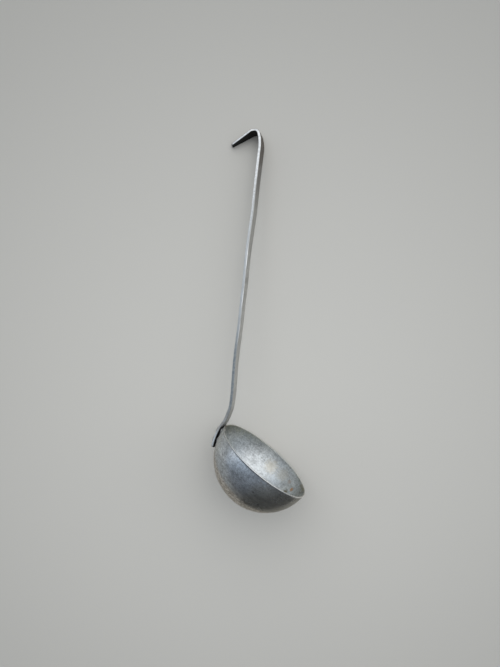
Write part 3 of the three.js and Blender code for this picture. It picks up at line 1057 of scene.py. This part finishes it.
def wall_material():
    made, tree, shader = new_material("wall_paint")
    where = node(tree, "ShaderNodeTexCoord").outputs["Object"]
    # A painted pool of light: the wall is brightest near the ladle and darker outwards.
    away = vector_maths(tree, "DISTANCE", where, wall_place @ Vector(LIGHT_POOL_MIDDLE), "Value")
    paint = shaded(tree, WALL_COLOUR, ramp(tree, away, LIGHT_POOL_REACH, 0.0, LIGHT_POOL_EDGE, 1.0))
    tree.links.new(paint, shader["Base Color"])
    shader["Roughness"].default_value = WALL_ROUGHNESS
    behind = node(tree, "ShaderNodeNewGeometry").outputs["Backfacing"]
    front = tree.nodes["Principled BSDF"].outputs[0]
    clear = node(tree, "ShaderNodeBsdfTransparent").outputs[0]
    either = node(tree, "ShaderNodeMixShader", {0: behind, 1: front, 2: clear}).outputs[0]
    tree.links.new(either, tree.nodes["Material Output"].inputs["Surface"])
    return made


wall = make_wall()
wall.data.materials.append(wall_material())

# Backdrop
# A pale round backdrop far out, which only a camera sees, so that the views past the wall's edge
# and from behind the wall are plain too.
BACKDROP_RADIUS = 2.5
BACKDROP_COLOUR = (0.86, 0.85, 0.83, 1)
BACKDROP_SEGMENTS = 64


def matt_material(name, colour):
    made, _, shader = new_material(name)
    shader["Base Color"].default_value = colour
    shader["Roughness"].default_value = 1.0
    return made


def make_backdrop():
    made = mesh_object("backdrop", [], [])
    ball = bmesh.new()
    rings = BACKDROP_SEGMENTS // 2
    bmesh.ops.create_uvsphere(
        ball, u_segments=BACKDROP_SEGMENTS, v_segments=rings, radius=BACKDROP_RADIUS
    )
    bmesh.ops.reverse_faces(ball, faces=ball.faces)
    ball.to_mesh(made.data)
    ball.free()
    made.data.shade_smooth()
    return made


backdrop = make_backdrop()
backdrop.data.materials.append(matt_material("backdrop_paint", BACKDROP_COLOUR))
backdrop.visible_diffuse = False
backdrop.visible_glossy = False
backdrop.visible_transmission = False
backdrop.visible_shadow = False

# Light
# Soft daylight: a broad glow of sky on the right, bluer sky round it, a paler patch on the left,
# dimmer patches in front and low on the left, and ground that darkens downwards. A soft top light
# makes no highlight, and a dark flag under the bowl shows only in reflections.
SKY_COLOUR = (0.65, 0.745, 0.86, 1)
GROUND_COLOUR = (0.155, 0.165, 0.18, 1)
# How much of the sky's light comes from each height, from straight down (-1) to straight up (1).
SKY_SHARES = ((-0.88, 0.0), (-0.73, 0.17), (-0.45, 0.21), (-0.20, 0.48), (0.15, 1.0))
# Soft round patches of the sky, in degrees: the azimuth of the middle, from -Y towards +X, its
# elevation, and how far out the patch ends and is complete.
GLOW_PATCH = (42, 27, 70, 15)
GLOW_COLOUR = (1.33, 1.37, 1.41, 1)
SIDE_PATCH = (-64, 22, 34, 8)
SIDE_COLOUR = (0.86, 0.90, 0.94, 1)
FRONT_PATCH = (0, -8, 34, 10)
FRONT_SHADE = 0.2
LOW_PATCH = (-66, -42, 39, 14)
LOW_SHADE = 0.95
SOFT_AZIMUTH = 5
SOFT_ELEVATION = 30
SOFT_SPREAD = math.radians(70)
SOFT_STRENGTH = 1.2
FLAG_COLOUR = (0.17, 0.168, 0.16, 1)
FLAG_HEIGHT = -0.455
FLAG_REACH = 0.20
FLAG_LEFT = -0.05
FLAG_RIGHT = 0.20


def sky_way(azimuth, elevation):
    """The direction of an azimuth and an elevation, both in degrees."""
    turn = math.radians(azimuth)
    rise = math.radians(elevation)
    level = math.cos(rise)
    return Vector((level * math.sin(turn), -level * math.cos(turn), math.sin(rise)))


def make_sky():
    made = bpy.data.worlds.new("soft_sky")
    made.use_nodes = True
    tree = made.node_tree
    outward = node(tree, "ShaderNodeTexCoord").outputs["Generated"]

    def patch(azimuth, elevation, end, full, strength=1.0):
        near = vector_maths(tree, "DOT_PRODUCT", outward, sky_way(azimuth, elevation), "Value")
        edges = [math.cos(math.radians(angle)) for angle in (end, full)]
        return ramp(tree, near, *edges, 0.0, strength)

    sky = blend(tree, patch(*GLOW_PATCH), SKY_COLOUR, GLOW_COLOUR)
    upward = node(tree, "ShaderNodeSeparateXYZ", {0: outward}).outputs["Z"]
    rise = node(tree, "ShaderNodeValToRGB", {0: maths(tree, "MULTIPLY_ADD", upward, 0.5, 0.5)})
    stops = rise.color_ramp.elements
    while len(stops) < len(SKY_SHARES):
        stops.new(0.5)
    for stop, (height, share) in zip(stops, SKY_SHARES):
        stop.position = (height + 1) / 2
        stop.color = (share, share, share, 1)
    light = blend(tree, rise.outputs[0], GROUND_COLOUR, sky)
    light = blend(tree, patch(*SIDE_PATCH), light, SIDE_COLOUR)
    light = blend(tree, patch(*FRONT_PATCH, FRONT_SHADE), light, GROUND_COLOUR)
    light = blend(tree, patch(*LOW_PATCH, LOW_SHADE), light, GROUND_COLOUR)
    tree.links.new(light, tree.nodes["Background"].inputs["Color"])
    return made


def make_soft_light():
    made = bpy.data.objects.new("soft_top_light", bpy.data.lights.new("soft_top_light", "SUN"))
    made.data.energy = SOFT_STRENGTH
    made.data.angle = SOFT_SPREAD
    aim = sky_way(SOFT_AZIMUTH, SOFT_ELEVATION).to_track_quat("Z", "Y")
    made.matrix_world = aim.to_matrix().to_4x4()
    made.visible_glossy = False
    bpy.context.scene.collection.objects.link(made)


def make_flag():
    corners = []
    for x, y in ((FLAG_LEFT, 1), (FLAG_RIGHT, 1), (FLAG_RIGHT, 0), (FLAG_LEFT, 0)):
        corner = wall_place @ Vector((x, 0, y * FLAG_REACH))
        corners.append((corner.x, corner.y, FLAG_HEIGHT))
    return mesh_object("dark_flag", corners, [(0, 1, 2, 3)])


bpy.context.scene.world = make_sky()
make_soft_light()
flag = make_flag()
flag.data.materials.append(matt_material("flag_cloth", FLAG_COLOUR))
flag.visible_camera = False
flag.visible_diffuse = False
flag.visible_shadow = False

# Camera
# At the photograph's viewing angle and with its field of view. The image is higher than it is
# wide, so the sensor's size belongs to its height.
IMAGE_HEIGHT = 667
FOCAL_PIXELS = 490
SENSOR = 36.0
CLIP_START = 10 * MM

camera = bpy.data.objects.new("camera", bpy.data.cameras.new("camera"))
camera.data.sensor_width = SENSOR
camera.data.lens = SENSOR * FOCAL_PIXELS / IMAGE_HEIGHT
camera.data.clip_start = CLIP_START
camera.matrix_world = Matrix.Translation(CAMERA_PLACE) @ view_turn
bpy.context.scene.collection.objects.link(camera)
bpy.context.scene.camera = camera
bpy.context.scene.view_settings.view_transform = "Standard"
